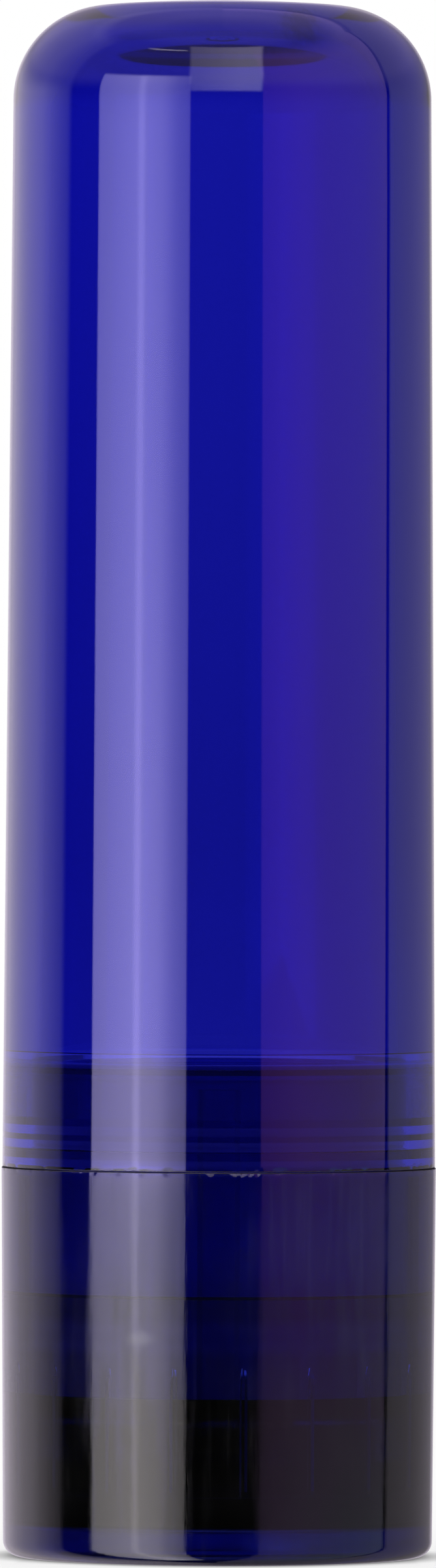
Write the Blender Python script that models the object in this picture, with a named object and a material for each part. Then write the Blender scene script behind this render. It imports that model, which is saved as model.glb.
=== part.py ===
"""A twist-up lip balm stick: a deep clear cap over a short base that winds the balm up on a feed screw.

Lengths are in metres, +Z is up, and the origin is the middle of the base's foot.
The stick is turned about Z. Its pieces, from the outside in, are the cap, the base shell, the insert pressed
into the base shell, the barrel, the carrier with the balm on it, and the feed screw.
"""

import math

import bmesh
import bpy
from mathutils import Vector

MM = 0.001

# Whole stick
STICK_HEIGHT = 70.0 * MM
SEGMENTS = 48  # facets round a turned piece
SCREW_STEPS = 20  # facets in one turn of a thread
CUT_OVERRUN = 1.0 * MM  # how far a cutter runs past the face it opens
JOIN_DEPTH = 0.3 * MM  # how far a rib or thread is rooted in the wall that carries it
MERGE_DISTANCE = 0.0001 * MM  # joins the first and last points of a turned outline

# Clearances
FIT_GAP = 0.3 * MM  # between pieces that slide or turn in each other, and between pressed ones
SEAT_GAP = 0.3 * MM  # under a piece that rests on another
THREAD_GAP = 0.3 * MM  # round the thread inside its nut

# Base shell
BASE_HEIGHT = 17.5 * MM
BASE_RADIUS = 9.79 * MM  # at the mouth
BASE_DRAFT = 0.12 * MM  # by which the foot is smaller than the mouth
BASE_WALL = 1.07 * MM
BASE_FLOOR = 1.3 * MM
FOOT_RECESS = 1.7 * MM  # depth of the hollow under the floor
FOOT_WALL = 1.4 * MM
FOOT_FILLET = 0.7 * MM
RECESS_FILLET = 0.3 * MM
EDGE_BREAK = 0.1 * MM  # rounding of the edges that meet at the seam
MOUTH_CHAMFER = 0.35 * MM
SPLINES = 18
SPLINE_HEIGHT = 0.3 * MM
SPLINE_WIDTH = 0.45 * MM
SPLINE_DROP = 2.8 * MM  # from the insert's mouth down to the top of the splines
SPLINE_LEAD_IN = 0.6 * MM
SPLINE_PHASE = math.radians(7.3)  # from the front, -Y, to the first spline

# Insert
INSERT_WALL = 0.85 * MM
INSERT_FLOOR = 1.0 * MM
INSERT_CHAMFER = 0.3 * MM
BOSS_CLEARANCE = 0.82 * MM  # from the boss out to the carrier's skirt
BOSS_HEIGHT = 1.7 * MM
FOOT_SIDES = 6
FOOT_FLATS = 5.0 * MM  # across the flats of the screw's hexagonal foot
FOOT_THICKNESS = 1.0 * MM

# Barrel
TUBE_WALL = 0.55 * MM
SKIRT_WALL = 0.55 * MM
SKIRT_DEPTH = 5.5 * MM  # how far the skirt reaches into the base shell
NECK_HEIGHT = 4.5 * MM  # how far the neck stands out of the base shell
NECK_CHAMFER = 0.4 * MM
NECK_LIP = 0.25 * MM
WEB_THICKNESS = 0.8 * MM  # joins the skirt to the tube at the top of the neck
TUBE_CLEARANCE = 0.8 * MM  # from the tube's end to the insert's floor
BEAD_RISE = 1.0 * MM  # from the base's mouth to the foot of the bead that grips the cap
BEAD_HEIGHT = 0.2 * MM
BEAD_LAND = 0.4 * MM
CATCH_DROP = 2.2 * MM  # from the insert's mouth down to the foot of the ring that snaps into it
CATCH_HEIGHT = 0.5 * MM
CATCH_LAND = 0.2 * MM
RAILS = 4
RAIL_HEIGHT = 0.45 * MM
RAIL_WIDTH = 0.9 * MM
RAIL_STOP = 1.2 * MM  # from the top of the rails to the top of the neck

# Carrier
CARRIER_PLATE = 1.0 * MM
CARRIER_SKIRT_WALL = 0.9 * MM
NUT_HEIGHT = 3.3 * MM  # from the underside of the plate
NUT_WALL = 0.95 * MM  # outside the thread
FINS = 4
FIN_THICKNESS = 0.7 * MM
FIN_HEIGHT = 1.4 * MM
FIN_SETBACK = 0.27 * MM  # from the fins' tips out to the floor of the notches

# Feed screw
CORE_RADIUS = 1.5 * MM
THREAD_HEIGHT = 0.75 * MM
THREAD_ROOT_WIDTH = 0.9 * MM
THREAD_CREST_WIDTH = 0.5 * MM
THREAD_STARTS = 2
THREAD_LEAD = 4.0 * MM
TIP_LENGTH = 0.4 * MM
SCREW_COVER = 1.85 * MM  # from the screw's tip up to the balm's edge
SCREW_HOLE_GAP = 0.3 * MM  # round the thread where it passes the boss

# Balm
BALM_SHOULDER = 0.45 * MM  # from the top of the neck down to the balm's edge
BALM_CROWN = 0.3 * MM  # rise of the balm's top over its edge

# Cap
CAP_INSET = 0.04 * MM  # by which the cap's mouth is smaller than the base
CAP_DRAFT = 0.33 * MM  # by which the cap is smaller where its corner begins
CAP_CORNER = 4.25 * MM
CAP_CROWN_SLOPE = math.radians(4.5)  # of the top where it meets the corner
CAP_HEADROOM = 0.65 * MM  # from the neck up to the step in the cap's bore
CAP_STEP = 0.95 * MM  # by which the bore narrows above the neck
CAP_STEP_RISE = 0.25 * MM
CAP_BORE_DRAFT = 0.25 * MM
CAP_TOP_WALL = 0.92 * MM  # at the middle of the top
CAP_INNER_CORNER = 3.5 * MM
CAP_CEILING_EDGE = math.radians(40.0)  # slope at which the inner corner gives way to the domed ceiling
CAP_CEILING_CROWN = 1.2 * MM
CAP_GROOVE = 0.12 * MM  # depth of the groove round the bead

# Gate marks, where the plastic ran into the cap and the base shell
GATE_RADIUS = 0.8 * MM
GATE_DEPTH = 0.15 * MM
GATE_STUB_RADIUS = 0.35 * MM
GATE_STUB_HEIGHT = 0.08 * MM

# Shares of a quarter turn at which an arc has its points, and how many points
CORNER_POINTS = 8
FILLET_POINTS = 4
CROWN_SHARES = (0.66, 0.33)

# Places worked out from the sizes above, from the outside in
foot_radius = BASE_RADIUS - BASE_DRAFT
base_bore = BASE_RADIUS - BASE_WALL
spline_tip = base_bore - SPLINE_HEIGHT
insert_radius = base_bore - FIT_GAP
insert_bore = insert_radius - INSERT_WALL
skirt_radius = base_bore - FIT_GAP
skirt_bore = skirt_radius - SKIRT_WALL
tube_radius = insert_bore - FIT_GAP
tube_bore = tube_radius - TUBE_WALL
rail_tip = tube_bore - RAIL_HEIGHT
carrier_radius = tube_bore - FIT_GAP
notch_floor = rail_tip - FIT_GAP
carrier_skirt_bore = carrier_radius - CARRIER_SKIRT_WALL
boss_radius = carrier_skirt_bore - BOSS_CLEARANCE
thread_radius = CORE_RADIUS + THREAD_HEIGHT
nut_bore = CORE_RADIUS + THREAD_GAP
nut_groove = thread_radius + THREAD_GAP
nut_radius = nut_groove + NUT_WALL
fin_radius = notch_floor - FIN_SETBACK
screw_hole = thread_radius + SCREW_HOLE_GAP
cap_radius = BASE_RADIUS - CAP_INSET
cap_top_radius = cap_radius - CAP_DRAFT
cap_counterbore = skirt_radius + BEAD_HEIGHT + FIT_GAP
cap_bore = cap_counterbore - CAP_STEP

# Heights worked out from the sizes above, from the bottom up
floor_top = FOOT_RECESS + BASE_FLOOR
insert_bottom = floor_top + SEAT_GAP
insert_floor_top = insert_bottom + INSERT_FLOOR
boss_top = insert_floor_top + BOSS_HEIGHT
foot_bottom = floor_top + SEAT_GAP
foot_top = foot_bottom + FOOT_THICKNESS
tube_bottom = insert_floor_top + TUBE_CLEARANCE
skirt_bottom = BASE_HEIGHT - SKIRT_DEPTH
insert_top = skirt_bottom - SEAT_GAP
spline_top = insert_top - SPLINE_DROP
neck_top = BASE_HEIGHT + NECK_HEIGHT
catch_bottom = insert_top - CATCH_DROP
catch_top = catch_bottom + CATCH_LAND + 2 * CATCH_HEIGHT
plate_bottom = boss_top + SEAT_GAP
plate_top = plate_bottom + CARRIER_PLATE
nut_top = plate_bottom + NUT_HEIGHT
carrier_bottom = insert_floor_top + SEAT_GAP
rail_top = neck_top - RAIL_STOP
balm_bottom = plate_top + SEAT_GAP
balm_edge = neck_top - BALM_SHOULDER
screw_top = balm_edge - SCREW_COVER
thread_top = screw_top - TIP_LENGTH
cap_bottom = BASE_HEIGHT + SEAT_GAP
cap_step = neck_top + CAP_HEADROOM


def arc(centre, radius, start, end, points):
    """Points on an arc about a centre (radius, height), from one angle to another, both ends included."""
    steps = [start + (end - start) * i / (points - 1) for i in range(points)]
    return [(centre[0] + radius * math.cos(a), centre[1] + radius * math.sin(a)) for a in steps]


def crown(edge_radius, edge_height, rise):
    """Points of a shallow dome from near its edge to the axis. A parabola serves for so flat a dome."""
    inner = [(edge_radius * s, edge_height + rise * (1 - s * s)) for s in CROWN_SHARES]
    return inner + [(0.0, edge_height + rise)]


def gate_mark(face, inward):
    """Points of a shallow hollow with the stub of a gate in it, from its rim in to the axis.

    It is sunk into a face at that height: upwards if inward is 1, downwards if inward is -1.
    """
    hollow = face + inward * GATE_DEPTH
    stub = hollow - inward * GATE_STUB_HEIGHT
    sides = [(GATE_RADIUS, face), (GATE_RADIUS - GATE_DEPTH, hollow)]
    return sides + [(GATE_STUB_RADIUS, hollow), (GATE_STUB_RADIUS, stub), (0.0, stub)]


def plastic(name, colour, roughness, alpha=1.0):
    """A Principled BSDF of one colour. Clear pieces let light through and are tinted by their colour."""
    material = bpy.data.materials.new(name)
    material.use_nodes = True
    shader = material.node_tree.nodes["Principled BSDF"]
    shader.inputs["Base Color"].default_value = (*colour, 1.0)
    shader.inputs["Roughness"].default_value = roughness
    shader.inputs["Metallic"].default_value = 0.0
    shader.inputs["Transmission Weight"].default_value = 1.0 - alpha
    return material


def add_object(name, mesh_data, material):
    """A mesh object at the origin, shaded smooth except across sharp edges."""
    mesh = bpy.data.meshes.new(name)
    mesh_data.to_mesh(mesh)
    mesh_data.free()
    mesh.shade_smooth()
    mesh.set_sharp_from_angle(angle=math.radians(30.0))
    item = bpy.data.objects.new(name, mesh)
    bpy.context.scene.collection.objects.link(item)
    if material is not None:
        mesh.materials.append(material)
    return item


def turned(name, profile, material):
    """A solid turned about Z from a closed profile, or from one whose two ends lie on the axis."""
    shape = bmesh.new()
    verts = [shape.verts.new((radius, 0.0, height)) for radius, height in profile]
    on_axis = profile[0][0] == 0.0 and profile[-1][0] == 0.0
    pairs = list(zip(verts, verts[1:]))
    if not on_axis:
        pairs.append((verts[-1], verts[0]))
    edges = [shape.edges.new(pair) for pair in pairs]
    bmesh.ops.spin(
        shape,
        geom=verts + edges,
        axis=(0.0, 0.0, 1.0),
        cent=(0.0, 0.0, 0.0),
        angle=math.tau,
        steps=SEGMENTS,
        use_merge=True,
        use_duplicate=False,
    )
    bmesh.ops.remove_doubles(shape, verts=shape.verts, dist=MERGE_DISTANCE)
    bmesh.ops.recalc_face_normals(shape, faces=shape.faces)
    return add_object(name, shape, material)


def prism(shape, outline, bottom, top):
    """Adds a straight prism on an outline of (x, y) points to a bmesh."""
    low = [shape.verts.new((x, y, bottom)) for x, y in outline]
    face = shape.faces.new(low)
    grown = bmesh.ops.extrude_face_region(shape, geom=[face])
    raised = [item for item in grown["geom"] if isinstance(item, bmesh.types.BMVert)]
    bmesh.ops.translate(shape, verts=raised, vec=(0.0, 0.0, top - bottom))
    return low, raised


def spokes(count, phase, inner, outer, width, bottom, top, lead_in=0.0):
    """A ring of upright bars that point away from the axis, the first of them at phase from -Y.

    With a lead-in, the tip of each bar slopes back towards the outside over that height at its top.
    """
    shape = bmesh.new()
    for i in range(count):
        angle = phase + math.tau * i / count
        out = Vector((math.sin(angle), -math.cos(angle)))
        side = Vector((math.cos(angle), math.sin(angle))) * width / 2
        outline = [out * inner - side, out * outer - side, out * outer + side, out * inner + side]
        _, raised = prism(shape, outline, bottom, top)
        for vert in raised:
            if Vector(vert.co[:2]).length < (inner + outer) / 2:
                vert.co.z -= lead_in
    bmesh.ops.recalc_face_normals(shape, faces=shape.faces)
    return shape


def thread(root, crest, root_width, crest_width, bottom, top):
    """The ridges of a right-handed thread, one closed helix for each start, as a bmesh."""
    shape = bmesh.new()
    steps = round((top - bottom) / THREAD_LEAD * SCREW_STEPS)
    lower_flank = [(root, -root_width / 2), (crest, -crest_width / 2)]
    section = lower_flank + [(radius, -height) for radius, height in reversed(lower_flank)]
    for start in range(THREAD_STARTS):
        rings = []
        for i in range(steps + 1):
            height = bottom + (top - bottom) * i / steps
            angle = math.tau * (height / THREAD_LEAD + start / THREAD_STARTS)
            ring = [(r * math.cos(angle), r * math.sin(angle), height + z) for r, z in section]
            rings.append([shape.verts.new(place) for place in ring])
        for low, high in zip(rings, rings[1:]):
            for a in range(len(section)):
                b = (a + 1) % len(section)
                shape.faces.new((low[a], low[b], high[b], high[a]))
        shape.faces.new(rings[0])
        shape.faces.new(rings[-1])
    bmesh.ops.recalc_face_normals(shape, faces=shape.faces)
    return shape


def boolean(item, name, shape, operation):
    """Joins a guide shape to an object, or cuts it out, with a Boolean modifier. The guide isn't a piece."""
    guide = add_object(name, shape, None)
    guide.hide_render = True
    guide.display_type = "WIRE"
    guide.parent = item
    modifier = item.modifiers.new(name, "BOOLEAN")
    modifier.operation = operation
    modifier.object = guide
    return guide


def make_base_shell(material):
    """The outer shell: a foot with a shallow hollow under it, a floor, and splines that grip the insert."""
    recess = foot_radius - FOOT_WALL
    fillet = (foot_radius - FOOT_FILLET, FOOT_FILLET)
    profile = list(reversed(gate_mark(FOOT_RECESS, 1))) + [(recess - RECESS_FILLET, FOOT_RECESS)]
    profile += [(recess, FOOT_RECESS - RECESS_FILLET), (recess, 0.0)]
    profile += arc(fillet, FOOT_FILLET, -math.pi / 2, 0.0, FILLET_POINTS)
    profile += [(BASE_RADIUS, BASE_HEIGHT - EDGE_BREAK), (BASE_RADIUS - EDGE_BREAK, BASE_HEIGHT)]
    profile += [(base_bore + MOUTH_CHAMFER, BASE_HEIGHT), (base_bore, BASE_HEIGHT - MOUTH_CHAMFER)]
    profile += [(base_bore, floor_top), (0.0, floor_top)]
    shell = turned("base_shell", profile, material)
    root = base_bore + JOIN_DEPTH
    splines = spokes(
        SPLINES, SPLINE_PHASE, spline_tip, root, SPLINE_WIDTH,
        floor_top - JOIN_DEPTH, spline_top, SPLINE_LEAD_IN,
    )
    boolean(shell, "base_splines", splines, "UNION")
    return shell


def make_insert(material):
    """The cup pressed into the base shell: grooves take its splines, and a pocket holds the screw's foot."""
    catch_low = catch_bottom - FIT_GAP
    catch_high = catch_top + FIT_GAP
    catch_radius = tube_radius + CATCH_HEIGHT + FIT_GAP
    slope = catch_radius - insert_bore
    profile = [(screw_hole, insert_bottom), (insert_radius - INSERT_CHAMFER, insert_bottom)]
    profile += [(insert_radius, insert_bottom + INSERT_CHAMFER), (insert_radius, insert_top)]
    profile += [(insert_bore, insert_top), (insert_bore, catch_high)]
    profile += [(catch_radius, catch_high - slope), (catch_radius, catch_low + slope)]
    profile += [(insert_bore, catch_low), (insert_bore, insert_floor_top)]
    profile += [(boss_radius, insert_floor_top), (boss_radius, boss_top)]
    profile += [(screw_hole, boss_top)]
    insert = turned("insert", profile, material)
    grooves = spokes(
        SPLINES, SPLINE_PHASE, spline_tip - FIT_GAP, insert_radius + CUT_OVERRUN, SPLINE_WIDTH + 2 * FIT_GAP,
        insert_bottom - CUT_OVERRUN, spline_top + FIT_GAP,
    )
    boolean(insert, "insert_grooves", grooves, "DIFFERENCE")
    pocket = bmesh.new()
    prism(pocket, hexagon(FOOT_FLATS + 2 * FIT_GAP), insert_bottom - CUT_OVERRUN, foot_top + FIT_GAP)
    bmesh.ops.recalc_face_normals(pocket, faces=pocket.faces)
    boolean(insert, "insert_pocket", pocket, "DIFFERENCE")
    return insert


def hexagon(flats):
    """The corners of the screw's hexagonal foot, or of its pocket, by the distance across the flats."""
    corner = flats / 2 / math.cos(math.pi / FOOT_SIDES)
    angles = [math.tau * i / FOOT_SIDES for i in range(FOOT_SIDES)]
    return [(corner * math.cos(a), corner * math.sin(a)) for a in angles]


def make_screw(material):
    """The feed screw: a hexagonal foot, a core with a two-start thread, and a short tapered tip."""
    tip = CORE_RADIUS - TIP_LENGTH
    profile = [(0.0, foot_top - JOIN_DEPTH), (CORE_RADIUS, foot_top - JOIN_DEPTH), (CORE_RADIUS, thread_top)]
    profile += [(tip, screw_top), (0.0, screw_top)]
    screw = turned("feed_screw", profile, material)
    foot = bmesh.new()
    prism(foot, hexagon(FOOT_FLATS), foot_bottom, foot_top)
    bmesh.ops.recalc_face_normals(foot, faces=foot.faces)
    boolean(screw, "screw_foot", foot, "UNION")
    low = foot_top + THREAD_ROOT_WIDTH
    high = thread_top - THREAD_ROOT_WIDTH
    ridges = thread(CORE_RADIUS - JOIN_DEPTH, thread_radius, THREAD_ROOT_WIDTH, THREAD_CREST_WIDTH, low, high)
    boolean(screw, "screw_thread", ridges, "UNION")
    return screw


def make_barrel(material):
    """The tube that guides the carrier, joined at the neck to the skirt that turns in the base."""
    bead = BASE_HEIGHT + BEAD_RISE
    web_bottom = neck_top - WEB_THICKNESS
    profile = [(tube_bore, tube_bottom), (tube_radius, tube_bottom), (tube_radius, catch_bottom)]
    profile += [(tube_radius + CATCH_HEIGHT, catch_bottom + CATCH_HEIGHT)]
    profile += [(tube_radius + CATCH_HEIGHT, catch_top - CATCH_HEIGHT), (tube_radius, catch_top)]
    profile += [(tube_radius, web_bottom)]
    profile += [(skirt_bore, web_bottom), (skirt_bore, skirt_bottom), (skirt_radius, skirt_bottom)]
    profile += [(skirt_radius, bead), (skirt_radius + BEAD_HEIGHT, bead + BEAD_HEIGHT)]
    profile += [(skirt_radius + BEAD_HEIGHT, bead + BEAD_HEIGHT + BEAD_LAND)]
    profile += [(skirt_radius, bead + 2 * BEAD_HEIGHT + BEAD_LAND), (skirt_radius, neck_top - NECK_CHAMFER)]
    profile += [(skirt_radius - NECK_CHAMFER, neck_top), (tube_bore + NECK_LIP, neck_top)]
    profile += [(tube_bore, neck_top - NECK_LIP)]
    barrel = turned("barrel", profile, material)
    rails = spokes(RAILS, 0.0, rail_tip, tube_bore + JOIN_DEPTH, RAIL_WIDTH, tube_bottom, rail_top)
    boolean(barrel, "barrel_rails", rails, "UNION")
    return barrel


def rail_notches(bottom, top):
    """Cutters for the notches that let the carrier and the balm ride along the barrel's rails."""
    width = RAIL_WIDTH + 2 * FIT_GAP
    return spokes(RAILS, 0.0, notch_floor, carrier_radius + CUT_OVERRUN, width, bottom, top)


def make_carrier(material):
    """The platform under the balm: a plate and skirt that run in the tube, a nut, and fins in the balm."""
    profile = [(nut_bore, plate_bottom), (carrier_skirt_bore, plate_bottom)]
    profile += [(carrier_skirt_bore, carrier_bottom), (carrier_radius, carrier_bottom)]
    profile += [(carrier_radius, plate_top), (nut_radius, plate_top)]
    profile += [(nut_radius, nut_top), (nut_bore, nut_top)]
    carrier = turned("carrier", profile, material)
    fin_phase = math.pi / FINS
    fins = spokes(
        FINS, fin_phase, nut_radius - JOIN_DEPTH, fin_radius, FIN_THICKNESS,
        plate_top - JOIN_DEPTH, plate_top + FIN_HEIGHT,
    )
    boolean(carrier, "carrier_fins", fins, "UNION")
    boolean(carrier, "carrier_notches", rail_notches(carrier_bottom - CUT_OVERRUN, nut_top), "DIFFERENCE")
    grown = 2 * THREAD_GAP
    tap = thread(
        nut_bore - JOIN_DEPTH, nut_groove, THREAD_ROOT_WIDTH + grown, THREAD_CREST_WIDTH + grown,
        plate_bottom - CUT_OVERRUN, nut_top + CUT_OVERRUN,
    )
    boolean(carrier, "carrier_tap", tap, "DIFFERENCE")
    return carrier


def make_balm(material):
    """The balm as it is cast: flush with the neck, round the carrier's nut and fins and the screw."""
    nut_hollow = nut_radius + FIT_GAP
    screw_hollow = thread_radius + SCREW_HOLE_GAP
    hollow_top = screw_top + FIT_GAP
    profile = [(0.0, hollow_top), (screw_hollow, hollow_top), (screw_hollow, nut_top + SEAT_GAP)]
    profile += [(nut_hollow, nut_top + SEAT_GAP), (nut_hollow, balm_bottom), (carrier_radius, balm_bottom)]
    profile += [(carrier_radius, balm_edge)]
    profile += crown(carrier_radius, balm_edge, BALM_CROWN)
    balm = turned("balm", profile, material)
    slots = spokes(
        FINS, math.pi / FINS, nut_radius, fin_radius + FIT_GAP, FIN_THICKNESS + 2 * FIT_GAP,
        balm_bottom - CUT_OVERRUN, plate_top + FIN_HEIGHT + SEAT_GAP,
    )
    boolean(balm, "balm_fin_slots", slots, "DIFFERENCE")
    boolean(balm, "balm_notches", rail_notches(balm_bottom - CUT_OVERRUN, rail_top + SEAT_GAP), "DIFFERENCE")
    return balm


def make_cap(material):
    """The deep cap: tapered, with a rounded corner, a low crown and a wide mouth that takes the neck."""
    slope = math.pi / 2 - CAP_CROWN_SLOPE
    corner_in = cap_top_radius - CAP_CORNER
    crown_radius = corner_in / math.cos(slope) + CAP_CORNER
    corner_up = STICK_HEIGHT - crown_radius + (crown_radius - CAP_CORNER) * math.sin(slope)
    corner = arc((corner_in, corner_up), CAP_CORNER, 0.0, slope, CORNER_POINTS)
    edge_radius, edge_height = corner[-1]
    bore_top = cap_bore - CAP_BORE_DRAFT
    corner_rise = CAP_INNER_CORNER * math.cos(CAP_CEILING_EDGE)
    corner_height = STICK_HEIGHT - CAP_TOP_WALL - CAP_CEILING_CROWN - corner_rise
    inner_edge = (bore_top - CAP_INNER_CORNER, corner_height)
    inner_corner = arc(inner_edge, CAP_INNER_CORNER, math.pi / 2 - CAP_CEILING_EDGE, 0.0, FILLET_POINTS + 1)
    bead = BASE_HEIGHT + BEAD_RISE
    groove_low = bead - FIT_GAP
    groove_high = bead + 2 * BEAD_HEIGHT + BEAD_LAND + FIT_GAP
    profile = [(cap_radius - EDGE_BREAK, cap_bottom), (cap_radius, cap_bottom + EDGE_BREAK)]
    top = crown(edge_radius, edge_height, STICK_HEIGHT - edge_height)
    profile += corner + top[:-1] + gate_mark(STICK_HEIGHT, -1)
    dome = crown(inner_corner[0][0], inner_corner[0][1], CAP_CEILING_CROWN)
    cavity = list(reversed(dome)) + inner_corner
    cavity += [(cap_bore, cap_step + CAP_STEP_RISE), (cap_counterbore, cap_step)]
    cavity += [(cap_counterbore, groove_high), (cap_counterbore + CAP_GROOVE, groove_high - CAP_GROOVE)]
    cavity += [(cap_counterbore + CAP_GROOVE, groove_low + CAP_GROOVE), (cap_counterbore, groove_low)]
    cavity += [(cap_counterbore, cap_bottom + MOUTH_CHAMFER), (cap_counterbore + MOUTH_CHAMFER, cap_bottom)]
    shell = turned_shell("cap", profile, cavity, material)
    return shell


def turned_shell(name, outside, inside, material):
    """A solid turned from an outside line that ends on the axis and an inside line that starts there."""
    shape = bmesh.new()
    for line in (outside, inside):
        verts = [shape.verts.new((radius, 0.0, height)) for radius, height in line]
        edges = [shape.edges.new(pair) for pair in zip(verts, verts[1:])]
        spin_once(shape, verts + edges)
    rim_out = (outside[0][0], outside[0][1])
    rim_in = (inside[-1][0], inside[-1][1])
    verts = [shape.verts.new((radius, 0.0, height)) for radius, height in (rim_in, rim_out)]
    spin_once(shape, verts + [shape.edges.new(verts)])
    bmesh.ops.remove_doubles(shape, verts=shape.verts, dist=MERGE_DISTANCE)
    bmesh.ops.recalc_face_normals(shape, faces=shape.faces)
    return add_object(name, shape, material)


def spin_once(shape, geometry):
    """Spins part of a bmesh once about Z."""
    bmesh.ops.spin(
        shape,
        geom=geometry,
        axis=(0.0, 0.0, 1.0),
        cent=(0.0, 0.0, 0.0),
        angle=math.tau,
        steps=SEGMENTS,
        use_merge=True,
        use_duplicate=False,
    )


def main():
    for item in list(bpy.data.objects):
        bpy.data.objects.remove(item)
    clear_blue = plastic("clear_blue", (0.05, 0.04, 0.55), 0.06, alpha=0.3)
    clear_blue_base = plastic("clear_blue_base", (0.04, 0.03, 0.40), 0.10, alpha=0.4)
    inner_blue = plastic("inner_blue", (0.06, 0.06, 0.42), 0.20, alpha=0.6)
    wax = plastic("wax", (0.93, 0.90, 0.82), 0.45)
    make_base_shell(clear_blue_base)
    make_insert(inner_blue)
    make_screw(inner_blue)
    make_barrel(clear_blue_base)
    make_carrier(inner_blue)
    make_balm(wax)
    make_cap(clear_blue)


main()
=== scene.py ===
"""The looks of the lip balm stick: clear deep blue mouldings round an off-white balm, in a white studio."""

import math

import bmesh
import bpy
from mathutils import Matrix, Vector, noise


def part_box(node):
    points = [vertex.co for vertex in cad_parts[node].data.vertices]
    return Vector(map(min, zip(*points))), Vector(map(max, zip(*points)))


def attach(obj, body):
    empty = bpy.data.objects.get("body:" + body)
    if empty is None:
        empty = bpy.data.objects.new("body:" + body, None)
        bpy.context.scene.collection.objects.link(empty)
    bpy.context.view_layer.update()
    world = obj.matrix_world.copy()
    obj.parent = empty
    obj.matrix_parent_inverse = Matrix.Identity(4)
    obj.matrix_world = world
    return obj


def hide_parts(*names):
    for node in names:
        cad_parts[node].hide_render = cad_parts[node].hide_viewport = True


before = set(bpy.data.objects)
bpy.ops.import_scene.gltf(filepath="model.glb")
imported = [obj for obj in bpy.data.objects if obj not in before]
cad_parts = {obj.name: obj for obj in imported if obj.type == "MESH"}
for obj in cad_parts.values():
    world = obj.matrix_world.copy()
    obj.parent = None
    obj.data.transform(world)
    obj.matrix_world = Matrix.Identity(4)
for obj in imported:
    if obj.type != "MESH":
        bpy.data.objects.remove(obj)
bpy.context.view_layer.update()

MM = 0.001

# Shapes

SHARP_EDGE = math.radians(38.0)
ROUNDING_SHARE = 0.49
NOISE_GAIN = 1.6
TOUCH = 0.01 * MM
HOLD = 0.03 * MM

# Roundings of the moulded edges
FINE = 0.02 * MM
KEEN = 0.04 * MM
CRISP = 0.05 * MM
EASED = 0.06 * MM
PLAIN = 0.08 * MM
SOFT = 0.1 * MM
FULL = 0.15 * MM
WIDE = 0.3 * MM


def rounded(points, steps=4, hold=HOLD):
    """An outline of (radius, height) points in which a third value rounds that corner by so much.

    A point is held close on each side of a rounding, so that the flats beside it are shaded flat.
    """
    line = []
    for i, point in enumerate(points):
        here = Vector(point[:2])
        if len(point) == 2:
            line.append(tuple(here))
            continue
        before = Vector(points[i - 1][:2]) - here
        after = Vector(points[(i + 1) % len(points)][:2]) - here
        first = here + before.normalized() * min(point[2], before.length * ROUNDING_SHARE)
        last = here + after.normalized() * min(point[2], after.length * ROUNDING_SHARE)
        if before.length - (first - here).length > 2 * hold:
            line.append(tuple(first + before.normalized() * hold))
        for step in range(steps + 1):
            t = step / steps
            line.append(tuple(first * (1 - t) ** 2 + here * 2 * t * (1 - t) + last * t**2))
        if after.length - (last - here).length > 2 * hold:
            line.append(tuple(last + after.normalized() * hold))
    return line


def divided(points, longest):
    """The same outline with extra points, so that no stretch of it is longer than that."""
    line = []
    for i, point in enumerate(points):
        line.append(point)
        if i + 1 == len(points) or (point[0] == 0.0 and points[i + 1][0] == 0.0):
            continue
        a, b = Vector(point), Vector(points[i + 1])
        extra = int((b - a).length / longest)
        line += [tuple(a.lerp(b, k / (extra + 1))) for k in range(1, extra + 1)]
    return line


def turned(name, outline, relief, segments):
    """A solid turned about Z. relief(radius, height, angle) gives each point its own radius and height."""
    shape = bmesh.new()
    rows = []
    for radius, height in outline:
        row = []
        for s in range(segments if radius > 0.0 else 1):
            angle = math.tau * s / segments
            r, z = relief(radius, height, angle)
            row.append(shape.verts.new((r * math.sin(angle), -r * math.cos(angle), z)))
        rows.append(row)
    pairs = list(zip(rows, rows[1:]))
    if len(rows[0]) > 1 and len(rows[-1]) > 1:
        pairs.append((rows[-1], rows[0]))
    for low, high in pairs:
        for s in range(segments):
            t = (s + 1) % segments
            corners = []
            for vert in (low[s % len(low)], low[t % len(low)], high[t % len(high)], high[s % len(high)]):
                if vert not in corners:
                    corners.append(vert)
            if len(corners) > 2:
                shape.faces.new(corners)
    bmesh.ops.recalc_face_normals(shape, faces=shape.faces)
    mesh = bpy.data.meshes.new(name)
    shape.to_mesh(mesh)
    shape.free()
    mesh.shade_smooth()
    mesh.set_sharp_from_angle(angle=SHARP_EDGE)
    item = bpy.data.objects.new(name, mesh)
    bpy.context.scene.collection.objects.link(item)
    return item


def arc(centre, radius, start, end, steps):
    """Points on an arc about (radius, height), both ends included."""
    angles = [start + (end - start) * i / steps for i in range(steps + 1)]
    return [(centre[0] + radius * math.cos(a), centre[1] + radius * math.sin(a)) for a in angles]


def crown(radius, height, rise, steps, inner=0.0):
    """A shallow dome from an edge in to the axis, or to an inner radius."""
    shares = [1 - (1 - inner / radius) * i / steps for i in range(1, steps + 1)]
    return [(radius * s, height + rise * (1 - s * s)) for s in shares]


def soft_step(value, low, high):
    """0 below low, 1 above high, and smooth between them."""
    t = min(max((value - low) / (high - low), 0.0), 1.0)
    return t * t * (3 - 2 * t)


def ribs(angle, radius, count, phase, width, flank):
    """1 on each of a ring of equal ribs of that width at that radius, 0 between them."""
    pitch = math.tau / count
    away = abs((angle - phase + pitch / 2) % pitch - pitch / 2) * radius
    return 1.0 - soft_step(away, width / 2 - flank / 2, width / 2 + flank / 2)


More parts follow.
